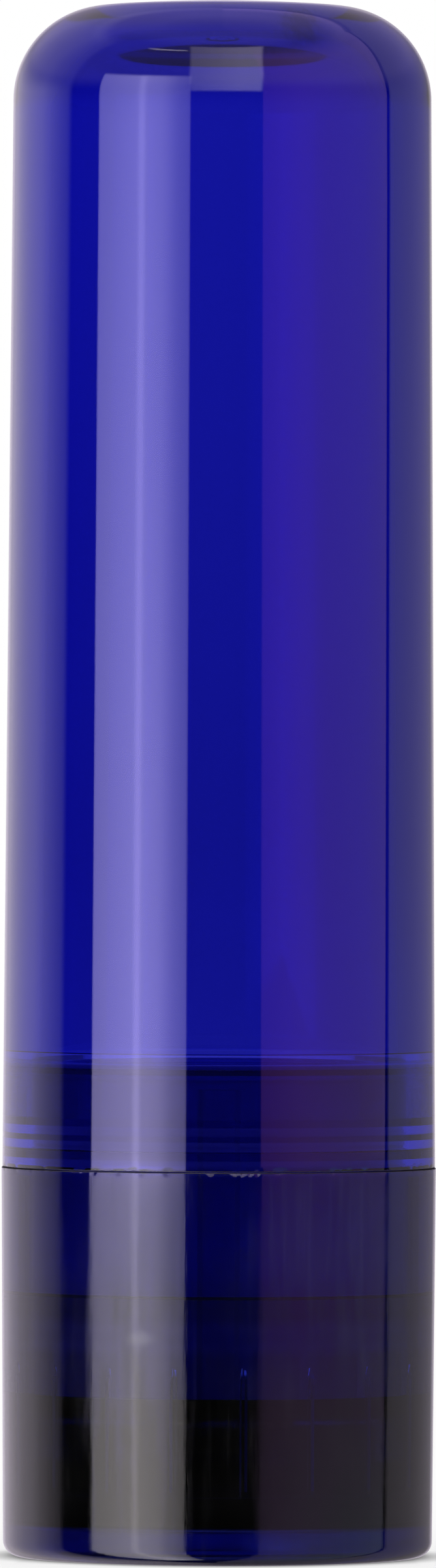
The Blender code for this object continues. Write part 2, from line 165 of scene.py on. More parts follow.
def grain(angle, height, radius, waves, seed):
    """Smooth noise between about -1 and 1 on a turned surface, with that many waves to the metre."""
    place = Vector((radius * math.sin(angle), radius * math.cos(angle), height)) * waves
    return noise.noise(place + Vector((seed, 0.0, 0.0))) * NOISE_GAIN


# Materials

WHITE = (1.0, 1.0, 1.0, 1.0)
# the dark of the joints, and of painted shade
DARK_JOINT_AND_SHADE = (0.002, 0.002, 0.012, 1.0)
# painted highlight: the blue of the rib faces in the base, which show as bright blue lines with painted shade
# beside them
PAINTED_GLINT_BLUE = (0.01, 0.01, 0.45, 1.0)
WAX_SHADE = (0.84, 0.80, 0.70, 1.0)
WAX_LIGHT = (0.92, 0.89, 0.82, 1.0)

# Waves to the metre of the patterns in the surfaces
RUB_WAVES = 2400.0
PATCH_WAVES = 260.0
RIPPLE_WAVES = 330.0
CLOUD_WAVES = 420.0
PORE_WAVES = 3200.0

RIPPLE_HEIGHT = 0.0012 * MM
PORE_DEPTH = 0.03 * MM
DENSITY_MARGIN = 1.25


class Nodes:
    """Short calls for building a node tree."""

    def __init__(self, tree):
        self.tree = tree
        tree.nodes.clear()

    def add(self, kind, inputs=None, **settings):
        node = self.tree.nodes.new(kind)
        for key, value in settings.items():
            setattr(node, key, value)
        for key, value in (inputs or {}).items():
            self.set(node.inputs[key], value)
        return node

    def set(self, socket, value):
        if isinstance(value, bpy.types.NodeSocket):
            self.tree.links.new(value, socket)
        else:
            socket.default_value = value

    def math(self, operation, a, b=0.0, c=0.0):
        return self.add("ShaderNodeMath", {0: a, 1: b, 2: c}, operation=operation).outputs[0]

    def vector(self, operation, a, b=(0.0, 0.0, 0.0)):
        return self.add("ShaderNodeVectorMath", {0: a, 1: b}, operation=operation).outputs

    def product(self, first, *others):
        for other in others:
            first = self.math("MULTIPLY", first, other)
        return first

    def total(self, first, *others):
        for other in others:
            first = self.math("ADD", first, other)
        return first

    def fade(self, value, low, high, bottom=0.0, top=1.0):
        """A smooth change from one number to another as the value goes from low to high."""
        inputs = {"Value": value, "From Min": low, "From Max": high, "To Min": bottom, "To Max": top}
        return self.add("ShaderNodeMapRange", inputs, interpolation_type="SMOOTHSTEP").outputs[0]

    def line(self, value, low, high, bottom=0.0, top=1.0):
        """A straight change from one number to another, held beyond both ends."""
        inputs = {"Value": value, "From Min": low, "From Max": high, "To Min": bottom, "To Max": top}
        return self.add("ShaderNodeMapRange", inputs).outputs[0]

    def noise(self, place, waves, detail, roughness=0.55):
        inputs = {"Vector": place, "Scale": waves, "Detail": detail, "Roughness": roughness}
        return self.add("ShaderNodeTexNoise", inputs).outputs[0]

    def radius_and_height(self, place):
        """How far a point of a piece is from the axis, and how high, both in metres."""
        x, y, height = self.add("ShaderNodeSeparateXYZ", {0: place}).outputs
        squares = self.total(self.product(x, x), self.product(y, y))
        return self.math("SQRT", squares), height

    def between(self, value, low, high):
        """1 from low to high and 0 outside."""
        return self.product(self.math("GREATER_THAN", value, low), self.math("LESS_THAN", value, high))

    def places(self, place, rings):
        """The greatest share among rings round the axis, each with its radii, its heights and its share."""
        radius, level = self.radius_and_height(place)
        result = 0.0
        for near, far, low, high, share in rings:
            inside = self.product(self.between(radius, near, far), self.between(level, low, high), share)
            result = self.math("MAXIMUM", inside, result)
        return result

    def upright(self, place, share):
        """The place with its height scaled down, which draws a pattern out upwards."""
        return self.add("ShaderNodeMapping", {"Vector": place, "Scale": (1.0, 1.0, share)}).outputs[0]

    def mark(self, place, middle, reach, ragged):
        """1 in the middle of a mark and 0 past its reach, with a ragged edge."""
        offset = self.vector("SUBTRACT", place, middle)[0]
        offset = self.vector("DIVIDE", offset, reach)[0]
        away = self.vector("LENGTH", offset)["Value"]
        away = self.math("ADD", away, self.math("MULTIPLY_ADD", ragged, 1.2, -0.6))
        return self.fade(away, 0.2, 1.0, 1.0, 0.0)

    def blend(self, factor, first, second):
        return self.add("ShaderNodeMix", {0: factor, 6: first, 7: second}, data_type="RGBA").outputs[2]

    def grey(self, value):
        return self.add("ShaderNodeCombineColor", {0: value, 1: value, 2: value}).outputs[0]


def principled(name, inputs):
    """A material with one Principled BSDF. Returns the material, its node helper, shader and output."""
    material = bpy.data.materials.new(name)
    material.use_nodes = True
    nodes = Nodes(material.node_tree)
    output = nodes.add("ShaderNodeOutputMaterial")
    shader = nodes.add("ShaderNodeBsdfPrincipled", inputs)
    nodes.tree.links.new(shader.outputs[0], output.inputs["Surface"])
    return material, nodes, shader, output


def clear_plastic(
    name, absorbed, ior, polish, haze, scratches=0.0, in_air=None, stains_and_shade=(), dull=(), spots=()
):
    """Clear moulded plastic, coloured through its depth.

    absorbed is what it takes out of red, green and blue light, for each millimetre. Its surface is slightly
    wavy, and has upright rub marks, dull patches where it has been handled, and fine scratches. Where pieces
    touch, wetted by wax, no light turns back at their faces: in_air lists where a face does meet air, each as
    the least and the greatest radius and height, and how much of it does. stained lists dark joints and bands
    of painted shade likewise, and dull lists faces painted partly matt blue, a painted highlight of bright
    lines with painted shade beside them. spots lists marks: the middle, the reach, how dark and how dull each
    is.
    """
    inputs = {"Base Color": WHITE, "Metallic": 0.0, "IOR": ior, "Transmission Weight": 1.0}
    material, nodes, shader, output = principled(name, inputs)
    place = nodes.add("ShaderNodeTexCoord").outputs["Object"]
    rub = nodes.noise(nodes.upright(place, 0.05), RUB_WAVES, 4.0, 0.65)
    patch = nodes.fade(nodes.noise(nodes.upright(place, 0.5), PATCH_WAVES, 4.0, 0.6), 0.42, 0.68)
    rough = nodes.math("MULTIPLY_ADD", patch, haze, polish)
    rough = nodes.math("MULTIPLY_ADD", nodes.fade(rub, 0.45, 0.8), haze * 1.2, rough)

    wave = nodes.noise(nodes.upright(place, 0.6), RIPPLE_WAVES, 1.0, 0.4)
    height = nodes.math("MULTIPLY_ADD", rub, scratches, nodes.product(wave, RIPPLE_HEIGHT))
    bump = nodes.add("ShaderNodeBump", {"Strength": 1.0, "Distance": 1.0, "Height": height})
    nodes.set(shader.inputs["Normal"], bump.outputs[0])
    if in_air:
        nodes.set(shader.inputs["Alpha"], nodes.places(place, in_air))

    # dark joints and marks, and painted shade on the barrel's rim and the base's foot
    stain_and_shade = nodes.places(place, stains_and_shade)
    matt = nodes.places(place, dull)
    # painted highlight: faces listed in dull take a blue that catches light as bright lines, and shades what
    # passes through them
    colour = nodes.blend(nodes.math("GREATER_THAN", matt, 0.0), WHITE, PAINTED_GLINT_BLUE)
    for middle, reach, darkness, dullness in spots:
        spot = nodes.mark(place, middle, reach, rub)
        stain_and_shade = nodes.math("MAXIMUM", stain_and_shade, nodes.product(spot, darkness))
        matt = nodes.math("MAXIMUM", matt, nodes.product(spot, dullness))
    worn = nodes.math("MAXIMUM", matt, nodes.fade(stain_and_shade, 0.8, 1.0, 0.0, 0.5))
    nodes.set(shader.inputs["Base Color"], nodes.blend(stain_and_shade, colour, DARK_JOINT_AND_SHADE))
    nodes.set(shader.inputs["Transmission Weight"], nodes.math("SUBTRACT", 1.0, matt))
    nodes.set(shader.inputs["Roughness"], nodes.math("MAXIMUM", rough, worn))

    density = max(absorbed) / MM * DENSITY_MARGIN
    tint = [1 - share / MM / density for share in absorbed]
    volume = nodes.add("ShaderNodeVolumeAbsorption", {"Color": (*tint, 1.0), "Density": density})
    nodes.tree.links.new(volume.outputs[0], output.inputs["Volume"])
    return material


def wax_material():
    """Poured balm: off-white, softly mottled and a little glossy, with light carried under its surface."""
    inputs = {
        "Metallic": 0.0,
        "IOR": 1.45,
        "Subsurface Weight": 0.2,
        "Subsurface Radius": (1.0, 0.8, 0.6),
        "Subsurface Scale": 0.001,
    }
    material, nodes, shader, _ = principled("balm_wax", inputs)
    place = nodes.add("ShaderNodeTexCoord").outputs["Object"]
    clouds = nodes.noise(place, CLOUD_WAVES, 5.0, 0.6)
    colour = nodes.blend(nodes.fade(clouds, 0.3, 0.7), WAX_SHADE, WAX_LIGHT)
    nodes.set(shader.inputs["Base Color"], colour)
    nodes.set(shader.inputs["Roughness"], nodes.fade(clouds, 0.3, 0.7, 0.34, 0.5))
    pores = nodes.noise(place, PORE_WAVES, 3.0, 0.7)
    bump = nodes.add("ShaderNodeBump", {"Strength": 0.35, "Distance": PORE_DEPTH, "Height": pores})
    nodes.set(shader.inputs["Normal"], bump.outputs[0])
    return material


def dress(item, material, body, slot, *nodes):
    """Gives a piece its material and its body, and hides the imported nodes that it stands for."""
    item.data.materials.clear()
    item.data.materials.append(material)
    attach(item, body)
    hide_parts(*nodes)


# Sizes that the pieces share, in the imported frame

_, cap_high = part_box("cap")
_, base_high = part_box("base_shell")
insert_low, insert_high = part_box("insert")
screw_low, screw_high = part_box("feed_screw")
barrel_low, barrel_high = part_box("barrel")
carrier_low, carrier_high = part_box("carrier")
balm_low, balm_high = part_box("balm")

GAP = 0.3 * MM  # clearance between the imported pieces
SEAT = 0.04 * MM  # what is left of it where a piece is seated here
BARREL_WALL = 0.55 * MM
SOLID_BEAD = 0.2 * MM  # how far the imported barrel's bead stands out from its skirt
NECK_INSET = 0.1 * MM
NECK_RISE = 0.25 * MM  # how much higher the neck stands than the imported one
HEADROOM = 0.73 * MM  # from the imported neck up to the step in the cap's bore
CAP_SEAM = 0.04 * MM  # slit between the base and the cap
SPLINE_DROP = 2.8 * MM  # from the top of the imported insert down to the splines
SPLINE_LEAD_IN = 0.6 * MM
THREAD_RADIUS = 2.25 * MM

stick_top = cap_high.z
seam = base_high.z
neck_top = barrel_high.z
rim = neck_top + NECK_RISE
cap_step = neck_top + HEADROOM
skirt_bottom = insert_high.z + GAP
spline_top = insert_high.z - SPLINE_DROP
floor_top = insert_low.z - GAP

carrier_radius = max(carrier_high.x, carrier_high.y)
tube_bore = carrier_radius + GAP
tube_radius = tube_bore + BARREL_WALL
insert_bore = tube_radius + GAP
insert_radius = max(insert_high.x, insert_high.y)
skirt_radius = barrel_high.x - SOLID_BEAD
skirt_bore = skirt_radius - BARREL_WALL
neck_radius = skirt_radius - NECK_INSET
base_bore = skirt_radius + GAP
screw_hole = THREAD_RADIUS + GAP

# The plastics, with where each one meets air, where it has dark joints, marks or wear, and where shade and
# highlights are painted on

DYE = (1.5, 1.45, 0.305)
DEEP_DYE = (1.8, 1.6, 0.48)
BARREL_DYE = (1.8, 1.6, 0.2)
INSERT_DYE = (2.4, 2.2, 0.66)
FAR = 1.0
JOINT = 0.12 * MM
STAIN_OVERLAP = 0.03 * MM
AIR_DEPTH = 0.1 * MM
RIM_AIR = 0.15 * MM
RIM_EDGE = 0.45 * MM
# painted shade: a dark band just below the barrel's rim, from and to these depths under it, and how dark
RIM_PAINTED_SHADE_LOW = 0.5 * MM
RIM_PAINTED_SHADE_HIGH = 0.19 * MM
RIM_PAINTED_SHADE = 0.85
# painted shade: the base darker towards its foot, up to this height, and how dark
FOOT_PAINTED_SHADE_HEIGHT = 1.75 * MM
FOOT_PAINTED_SHADE = 0.25
# share of the rib faces given the painted highlight
SPLINE_PAINTED_GLINT = 0.22
BASE_SCRATCHES = 0.0035 * MM

# Where air lies between the cap and the neck: from and to which height, and how much of it.
# The cap is tight on the neck along three rings, and touches it here and there above them.
neck_air = [
    (-FAR, seam + 0.49 * MM, 1.0),
    (seam + 0.85 * MM, seam + 1.32 * MM, 1.0),
    (seam + 1.58 * MM, seam + 1.97 * MM, 1.0),
    (seam + 2.32 * MM, rim + RIM_AIR, 0.35),
    (rim + RIM_AIR, FAR, 1.0),
]
spline_faces = (insert_radius + 0.06 * MM, base_bore - 0.05 * MM)
insert_mouth = (insert_radius - JOINT, FAR, skirt_bottom - 1.5 * JOINT, FAR, 1.0)
nowhere = (0.0, 0.0, 0.0, 0.0, 0.0)
cap_smudge = ((3.4 * MM, -7.0 * MM, stick_top - 1.3 * MM), (1.3 * MM, 3.0 * MM, 1.6 * MM), 0.75, 0.0)
base_scuff = ((-3.4 * MM, -9.0 * MM, 10.1 * MM), (0.9 * MM, 1.5 * MM, 0.5 * MM), 0.0, 0.06)

cap_blue = clear_plastic(
    "cap_blue",
    DYE,
    ior=1.58,
    polish=0.012,
    haze=0.02,
    in_air=[(base_bore, FAR, -FAR, FAR, 1.0), *[(-FAR, FAR, *ring) for ring in neck_air]],
    stains_and_shade=[(-FAR, FAR, -FAR, seam + CAP_SEAM + STAIN_OVERLAP, 1.0)],
    spots=[cap_smudge],
)
base_blue = clear_plastic(
    "base_blue",
    DEEP_DYE,
    ior=1.53,
    polish=0.03,
    haze=0.09,
    scratches=BASE_SCRATCHES,
    in_air=[
        (base_bore + GAP, FAR, -FAR, FAR, 1.0),
        (-FAR, FAR, -FAR, floor_top - JOINT, 1.0),
        (*spline_faces, -FAR, spline_top, 1.0),
    ],
    # a dark joint on the seam, and painted shade darkening the foot
    stains_and_shade=[(-FAR, FAR, seam - STAIN_OVERLAP, FAR, 1.0), (-FAR, FAR, -FAR, FOOT_PAINTED_SHADE_HEIGHT, FOOT_PAINTED_SHADE)],
    # painted highlight and shade on the rib faces: bright blue lines with dark beside them
    dull=[(*spline_faces, insert_low.z, spline_top - SPLINE_LEAD_IN, SPLINE_PAINTED_GLINT)],
    spots=[base_scuff],
)
insert_blue = clear_plastic(
    "insert_blue",
    INSERT_DYE,
    ior=1.5,
    polish=0.08,
    haze=0.1,
    in_air=[insert_mouth],
    stains_and_shade=[insert_mouth],
)
barrel_blue = clear_plastic(
    "barrel_blue",
    BARREL_DYE,
    ior=1.5,
    polish=0.02,
    haze=0.03,
    in_air=[
        *[(neck_radius - AIR_DEPTH, FAR, max(low, seam - GAP), high, share) for low, high, share in neck_air],
        (-FAR, FAR, rim - RIM_EDGE, FAR, 1.0),
    ],
    # painted shade: a dark band just below the rim
    stains_and_shade=[(-FAR, FAR, rim - RIM_PAINTED_SHADE_LOW, rim - RIM_PAINTED_SHADE_HIGH, RIM_PAINTED_SHADE)],
)
carrier_blue = clear_plastic("carrier_blue", INSERT_DYE, ior=1.5, polish=0.08, haze=0.1, in_air=[nowhere])
screw_blue = clear_plastic("inner_blue", DEEP_DYE, ior=1.5, polish=0.08, haze=0.1)
wax = wax_material()

# Marks of moulding and wear that the cap and the base share

GATE_RADIUS = 0.8 * MM
GATE_DEPTH = 0.15 * MM
GATE_STUB_RADIUS = 0.35 * MM
GATE_STUB_HEIGHT = 0.08 * MM
GATE_EDGE = 0.04 * MM
SEAM_EDGE = 0.004 * MM
NICK = 0.12 * MM
NICK_BAND = 0.2 * MM
NICK_LEVEL = 0.45
DENT_LEVEL = 0.55
NICK_DEPTH = 0.08 * MM


def gate_mark(face, inward):
    """A shallow hollow with the stub of a gate in it, from its rim in to the axis."""
    hollow = face + inward * GATE_DEPTH
    stub = hollow - inward * GATE_STUB_HEIGHT
    sides = [(GATE_RADIUS, face, GATE_EDGE), (GATE_RADIUS - GATE_DEPTH, hollow, GATE_EDGE)]
    return sides + [(GATE_STUB_RADIUS, hollow, GATE_EDGE), (GATE_STUB_RADIUS, stub, GATE_EDGE), (0.0, stub)]


def chipped(radius, height, angle, edge_height, outer_radius):
    """Small nicks and dents along an edge that lies on the seam."""
    near = max(1.0 - abs(height - edge_height) / NICK, 0.0)
    if radius < outer_radius - NICK_BAND or near == 0.0:
        return radius, height
    nicks = max(grain(angle, height, radius, waves=4200.0, seed=5.0) - NICK_LEVEL, 0.0)
    dents = max(grain(angle, height, radius, waves=1300.0, seed=9.0) - DENT_LEVEL, 0.0)
    return radius - (nicks + dents) * near * NICK_DEPTH, height


# Cap

CAP_DRAFT = 0.33 * MM
CAP_CORNER = 4.25 * MM
CROWN_SLOPE = math.radians(4.5)
CAP_BORE = 7.97 * MM
CAP_BORE_DRAFT = 0.25 * MM
CAP_STEP_IN = 0.4 * MM
CAP_STEP_EDGE = 0.03 * MM
CAP_TAPER = 6.0 * MM
CAP_TAPER_ROUND = 3.0 * MM
CAP_NECK_GAP = 0.04 * MM
CAP_GROOVE = 0.1 * MM
CAP_GROOVE_LOW = 0.8 * MM
CAP_GROOVE_HIGH = 1.55 * MM
CAP_MOUTH_RISE = 0.12 * MM
CAP_MOUTH_FLARE = 0.08 * MM
CAP_TOP_WALL = 0.92 * MM
CAP_INNER_CORNER = 3.5 * MM
CEILING_EDGE = math.radians(36.0)
CEILING_RISE = 1.2 * MM
BORE_WAVE_HEIGHT = 0.006 * MM


def build_cap():
    radius = cap_high.x
    mouth = seam + CAP_SEAM
    slope = math.pi / 2 - CROWN_SLOPE
    corner_in = radius - CAP_DRAFT - CAP_CORNER
    crown_radius = corner_in / math.cos(slope) + CAP_CORNER
    corner_up = stick_top - crown_radius + (crown_radius - CAP_CORNER) * math.sin(slope)
    corner = arc((corner_in, corner_up), CAP_CORNER, 0.0, slope, steps=30)
    edge, edge_height = corner[-1]
    dome = crown(edge, edge_height, stick_top - edge_height, steps=8, inner=GATE_RADIUS * 1.2)
    bore_top = CAP_BORE - CAP_BORE_DRAFT
    corner_rise = CAP_INNER_CORNER * math.cos(CEILING_EDGE)
    inner_centre = (bore_top - CAP_INNER_CORNER, stick_top - CAP_TOP_WALL - CEILING_RISE - corner_rise)
    inner_corner = arc(inner_centre, CAP_INNER_CORNER, math.pi / 2 - CEILING_EDGE, 0.0, steps=18)
    inner_dome = crown(inner_corner[0][0], inner_corner[0][1], CEILING_RISE, steps=16)
    wide = skirt_radius + CAP_NECK_GAP
    groove_low = seam + CAP_GROOVE_LOW
    groove_high = seam + CAP_GROOVE_HIGH
    outer = [(radius, mouth, SEAM_EDGE), (radius, mouth + NICK), (radius, mouth + 2 * NICK)]
    outer += corner + dome + gate_mark(stick_top, -1)
    inner = list(reversed(inner_dome)) + inner_corner
    inner += [(CAP_BORE, cap_step + CAP_TAPER, CAP_TAPER_ROUND)]
    inner += [(wide - CAP_STEP_IN, cap_step, CAP_STEP_EDGE), (wide, cap_step, FINE)]
    inner += [(wide, groove_high, CRISP), (wide + CAP_GROOVE, groove_high - CAP_GROOVE, CRISP)]
    inner += [(wide + CAP_GROOVE, groove_low + CAP_GROOVE, CRISP), (wide, groove_low, CRISP)]
    inner += [(wide, mouth + CAP_MOUTH_RISE, KEEN), (wide + CAP_MOUTH_FLARE, mouth, FINE)]
    outline = divided(rounded(outer + inner), longest=1.2 * MM)

    def relief(r, z, angle):
        if z < mouth + NICK_BAND:
            return chipped(r, z, angle, mouth, radius)
        if r < CAP_BORE + TOUCH and z < inner_centre[1]:
            return r + grain(angle, z, r, waves=110.0, seed=3.0) * BORE_WAVE_HEIGHT, z
        return r, z

    return turned("cap_shell", outline, relief, segments=480)


dress(build_cap(), cap_blue, "cap", "clear_blue", "cap")

# Base shell

BASE_DRAFT = 0.12 * MM
MOUTH_CHAMFER = 0.35 * MM
FLOOR_ROUND = 0.12 * MM
FOOT_RECESS = 1.7 * MM
FOOT_WALL = 2.2 * MM
FOOT_FILLET = 0.7 * MM
SPLINES = 18
SPLINE_HEIGHT = 0.3 * MM
SPLINE_WIDTH = 0.22 * MM
SPLINE_FLANK = 0.1 * MM
SPLINE_PHASE = math.radians(7.3)
RECESS_ROUND = 0.35 * MM


def build_base():
    radius = base_high.x
    foot = radius - BASE_DRAFT
    recess = foot - FOOT_WALL
    points = list(reversed(gate_mark(FOOT_RECESS, 1)))
    points += [(recess, FOOT_RECESS, RECESS_ROUND), (recess, 0.0, FULL)]
    points += arc((foot - FOOT_FILLET, FOOT_FILLET), FOOT_FILLET, -math.pi / 2, 0.0, steps=10)
    points += [(radius, seam - 2 * NICK), (radius, seam - NICK), (radius, seam, SEAM_EDGE)]
    points += [(base_bore + MOUTH_CHAMFER, seam, EASED), (base_bore, seam - MOUTH_CHAMFER, SOFT)]
    points += [(base_bore, spline_top), (base_bore, spline_top - SPLINE_LEAD_IN)]
    points += [(base_bore, floor_top, FLOOR_ROUND), (0.0, floor_top)]
    outline = divided(rounded(points), longest=0.8 * MM)

    def relief(r, z, angle):
        if z > seam - NICK_BAND:
            return chipped(r, z, angle, seam, radius)
        if abs(r - base_bore) < TOUCH and z < spline_top:
            height = SPLINE_HEIGHT * min((spline_top - z) / SPLINE_LEAD_IN, 1.0)
            return r - height * ribs(angle, r, SPLINES, SPLINE_PHASE, SPLINE_WIDTH, SPLINE_FLANK), z
        return r, z

    return turned("base_outer_shell", outline, relief, segments=720)


dress(build_base(), base_blue, "base", "clear_blue_base", "base_shell")

# Insert, with the socket for the foot of the screw

BOSS_RADIUS = 4.7 * MM
BOSS_HEIGHT = 1.7 * MM
INSERT_FLOOR = 1.0 * MM
FLOOR_FILLET = 0.2 * MM
CATCH_DROP = 2.2 * MM
CATCH_SIZE = 0.5 * MM
CATCH_LAND = 0.2 * MM
NOTCH_BAND = 0.35 * MM
NOTCH_EDGE_SHARE = 0.6
SLOT_FLANK = 0.12 * MM
FOOT_SIDES = 6
FOOT_FLATS = 5.0 * MM
FOOT_THICKNESS = 1.0 * MM
foot_corner = FOOT_FLATS / 2 / math.cos(math.pi / FOOT_SIDES)
foot_top = screw_low.z + FOOT_THICKNESS


def hexagon(corner, angle):
    """The radius at an angle of the hexagon whose corners lie at that radius."""
    side = math.tau / FOOT_SIDES
    turn = (angle - math.pi / 2) % side - side / 2
    return corner * math.cos(math.pi / FOOT_SIDES) / math.cos(turn)


def build_insert():
    bottom = insert_low.z - GAP + SEAT
    top = skirt_bottom - SEAT
    floor = insert_low.z + INSERT_FLOOR
    groove_low = insert_high.z - CATCH_DROP - GAP
    groove_high = insert_high.z - CATCH_DROP + 2 * CATCH_SIZE + CATCH_LAND + GAP
    deep = tube_radius + CATCH_SIZE + GAP
    socket = foot_corner + GAP
    socket_top = foot_top + GAP
    points = [(socket, bottom), (insert_radius, bottom, WIDE), (insert_radius, spline_top + GAP)]
    points += [(insert_radius, top, SOFT), (insert_bore, top, SOFT), (insert_bore, groove_high, CRISP)]
    points += [(deep, groove_high - CATCH_SIZE, CRISP), (deep, groove_low + CATCH_SIZE, CRISP)]
    points += [(insert_bore, groove_low, CRISP), (insert_bore, floor, FLOOR_FILLET)]
    points += [(BOSS_RADIUS, floor, SOFT), (BOSS_RADIUS, floor + BOSS_HEIGHT, FULL)]
    points += [(screw_hole, floor + BOSS_HEIGHT, SOFT)]
    points += [(screw_hole, socket_top), (socket, socket_top)]
    outline = divided(rounded(points), longest=0.7 * MM)
    notch_depth = insert_radius - (base_bore - SPLINE_HEIGHT - GAP)

    def relief(r, z, angle):
        if r > insert_radius - NOTCH_BAND and z <= spline_top + GAP:
            cut = ribs(angle, r, SPLINES, SPLINE_PHASE, SPLINE_WIDTH + 2 * GAP, SLOT_FLANK)
            share = 1.0 if r > insert_radius - TOUCH else NOTCH_EDGE_SHARE
            return r - notch_depth * cut * share, z
        if abs(r - socket) < TOUCH and z < socket_top + TOUCH:
            return hexagon(r, angle), z
        return r, z

    return turned("insert_cup", outline, relief, segments=720)


dress(build_insert(), insert_blue, "base", "inner_blue", "insert")

# Feed screw

CORE_RADIUS = 1.5 * MM
THREAD_ROOT_WIDTH = 0.9 * MM
THREAD_CREST_WIDTH = 0.5 * MM
THREAD_STARTS = 2
THREAD_LEAD = 4.0 * MM
THREAD_RUN_OUT = 0.5 * MM
TIP_LENGTH = 0.4 * MM
FOOT_ROUND = 0.12 * MM
FOOT_START = 0.2 * MM
thread_low = foot_top + THREAD_ROOT_WIDTH / 2
thread_high = screw_high.z - TIP_LENGTH - THREAD_ROOT_WIDTH / 2


def thread_height(z, angle, grown=0.0):
    """How far the thread stands out from its core, at a height and an angle from -Y."""
    pitch = THREAD_LEAD / THREAD_STARTS
    along = z - THREAD_LEAD * (angle - math.pi / 2) / math.tau
    away = abs((along + pitch / 2) % pitch - pitch / 2)
    flank = soft_step(away, THREAD_CREST_WIDTH / 2 + grown, THREAD_ROOT_WIDTH / 2 + grown)
    return (THREAD_RADIUS - CORE_RADIUS) * (1.0 - flank)


def build_screw():
    tip = screw_high.z
    points = [(0.0, screw_low.z), (foot_corner, screw_low.z, FOOT_ROUND), (foot_corner, foot_top, FOOT_ROUND)]
    points += [(CORE_RADIUS, foot_top, FULL), (CORE_RADIUS, tip - TIP_LENGTH, CRISP)]
    points += [(CORE_RADIUS - TIP_LENGTH, tip, PLAIN), (0.0, tip)]
    outline = divided(rounded(points), longest=0.1 * MM)

    def relief(r, z, angle):
        if z <= foot_top + TOUCH and r > CORE_RADIUS + FOOT_START:
            return hexagon(r, angle), z
        if abs(r - CORE_RADIUS) < TOUCH:
            start = soft_step(z, thread_low, thread_low + THREAD_RUN_OUT)
            end = 1.0 - soft_step(z, thread_high - THREAD_RUN_OUT, thread_high)
            return r + thread_height(z, angle) * (start * end), z
        return r, z

    return turned("feed_screw_body", outline, relief, segments=120)


dress(build_screw(), screw_blue, "base", "inner_blue", "feed_screw")

# Barrel

RAILS = 4
RAIL_HEIGHT = 0.45 * MM
RAIL_WIDTH = 0.9 * MM
RAIL_STOP = 1.2 * MM
RAIL_LEAD_IN = 0.15 * MM
WEB_THICKNESS = 0.8 * MM
BEAD_RISE = 1.0 * MM
BEAD_FLANK = 0.2 * MM
BEAD_LAND = 0.4 * MM
NECK_ROUND = 0.6 * MM
TUBE_ROUND = 0.25 * MM
rail_top = neck_top - RAIL_STOP


def build_barrel():
    bottom = barrel_low.z
    catch = insert_high.z - CATCH_DROP
    catch_low = catch + CATCH_SIZE
    catch_high = catch_low + CATCH_LAND
    catch_radius = tube_radius + CATCH_SIZE
    web = rim - WEB_THICKNESS
    bead_low = seam + BEAD_RISE + BEAD_FLANK
    bead_high = bead_low + BEAD_LAND
    points = [(tube_bore, bottom, PLAIN), (tube_radius, bottom, PLAIN), (tube_radius, catch, CRISP)]
    points += [(catch_radius, catch_low, CRISP), (catch_radius, catch_high, CRISP)]
    points += [(tube_radius, catch_high + CATCH_SIZE, CRISP), (tube_radius, web, SOFT)]
    points += [(skirt_bore, web, SOFT), (skirt_bore, skirt_bottom, PLAIN)]
    points += [(skirt_radius, skirt_bottom, PLAIN), (skirt_radius, seam - GAP, KEEN)]
    points += [(neck_radius, seam - GAP + NECK_INSET, KEEN), (neck_radius, seam + BEAD_RISE, CRISP)]
    points += [(skirt_radius, bead_low, EASED), (skirt_radius, bead_high, EASED)]
    points += [(neck_radius, bead_high + BEAD_FLANK, CRISP)]
    points += [(neck_radius, rim - NECK_ROUND), (neck_radius - 0.25 * NECK_ROUND, rim - 0.45 * NECK_ROUND)]
    points += [(neck_radius - NECK_ROUND, rim, WIDE)]
    points += [(tube_bore + TUBE_ROUND, rim, SOFT), (tube_bore, rim - TUBE_ROUND, SOFT)]
    points += [(tube_bore, rail_top), (tube_bore, rail_top - RAIL_LEAD_IN)]
    outline = divided(rounded(points), longest=0.8 * MM)

    def relief(r, z, angle):
        if abs(r - tube_bore) < TOUCH and z < rail_top:
            height = RAIL_HEIGHT * min((rail_top - z) / RAIL_LEAD_IN, 1.0)
            return r - height * ribs(angle, r, RAILS, 0.0, RAIL_WIDTH, SLOT_FLANK), z
        return r, z

    return turned("barrel_tube", outline, relief, segments=480)


dress(build_barrel(), barrel_blue, "barrel", "barrel_blue", "barrel")

# Carrier

CARRIER_PLATE = 1.0 * MM
CARRIER_WALL = 0.9 * MM
NUT_HEIGHT = 3.3 * MM
NUT_RADIUS = 3.5 * MM
FINS = 4
FIN_THICKNESS = 0.7 * MM
FIN_HEIGHT = 1.4 * MM
FIN_RADIUS = 5.7 * MM
FIN_FLANK = 0.1 * MM
FIN_ROOT = 0.02 * MM
NOTCH_STEP = 0.05 * MM
notch_floor = tube_bore - RAIL_HEIGHT - GAP


def notched(radius, angle):
    """The radius with the notches cut into it that run along the barrel's rails."""
    cut = ribs(angle, radius, RAILS, 0.0, RAIL_WIDTH + 2 * GAP, SLOT_FLANK)
    return radius + (min(notch_floor, radius) - radius) * cut


def fin(angle, radius, thickness):
    """1 where a fin of that thickness stands at that radius, and 0 between the fins."""
    return ribs(angle, radius, FINS, math.pi / FINS, thickness, FIN_FLANK)


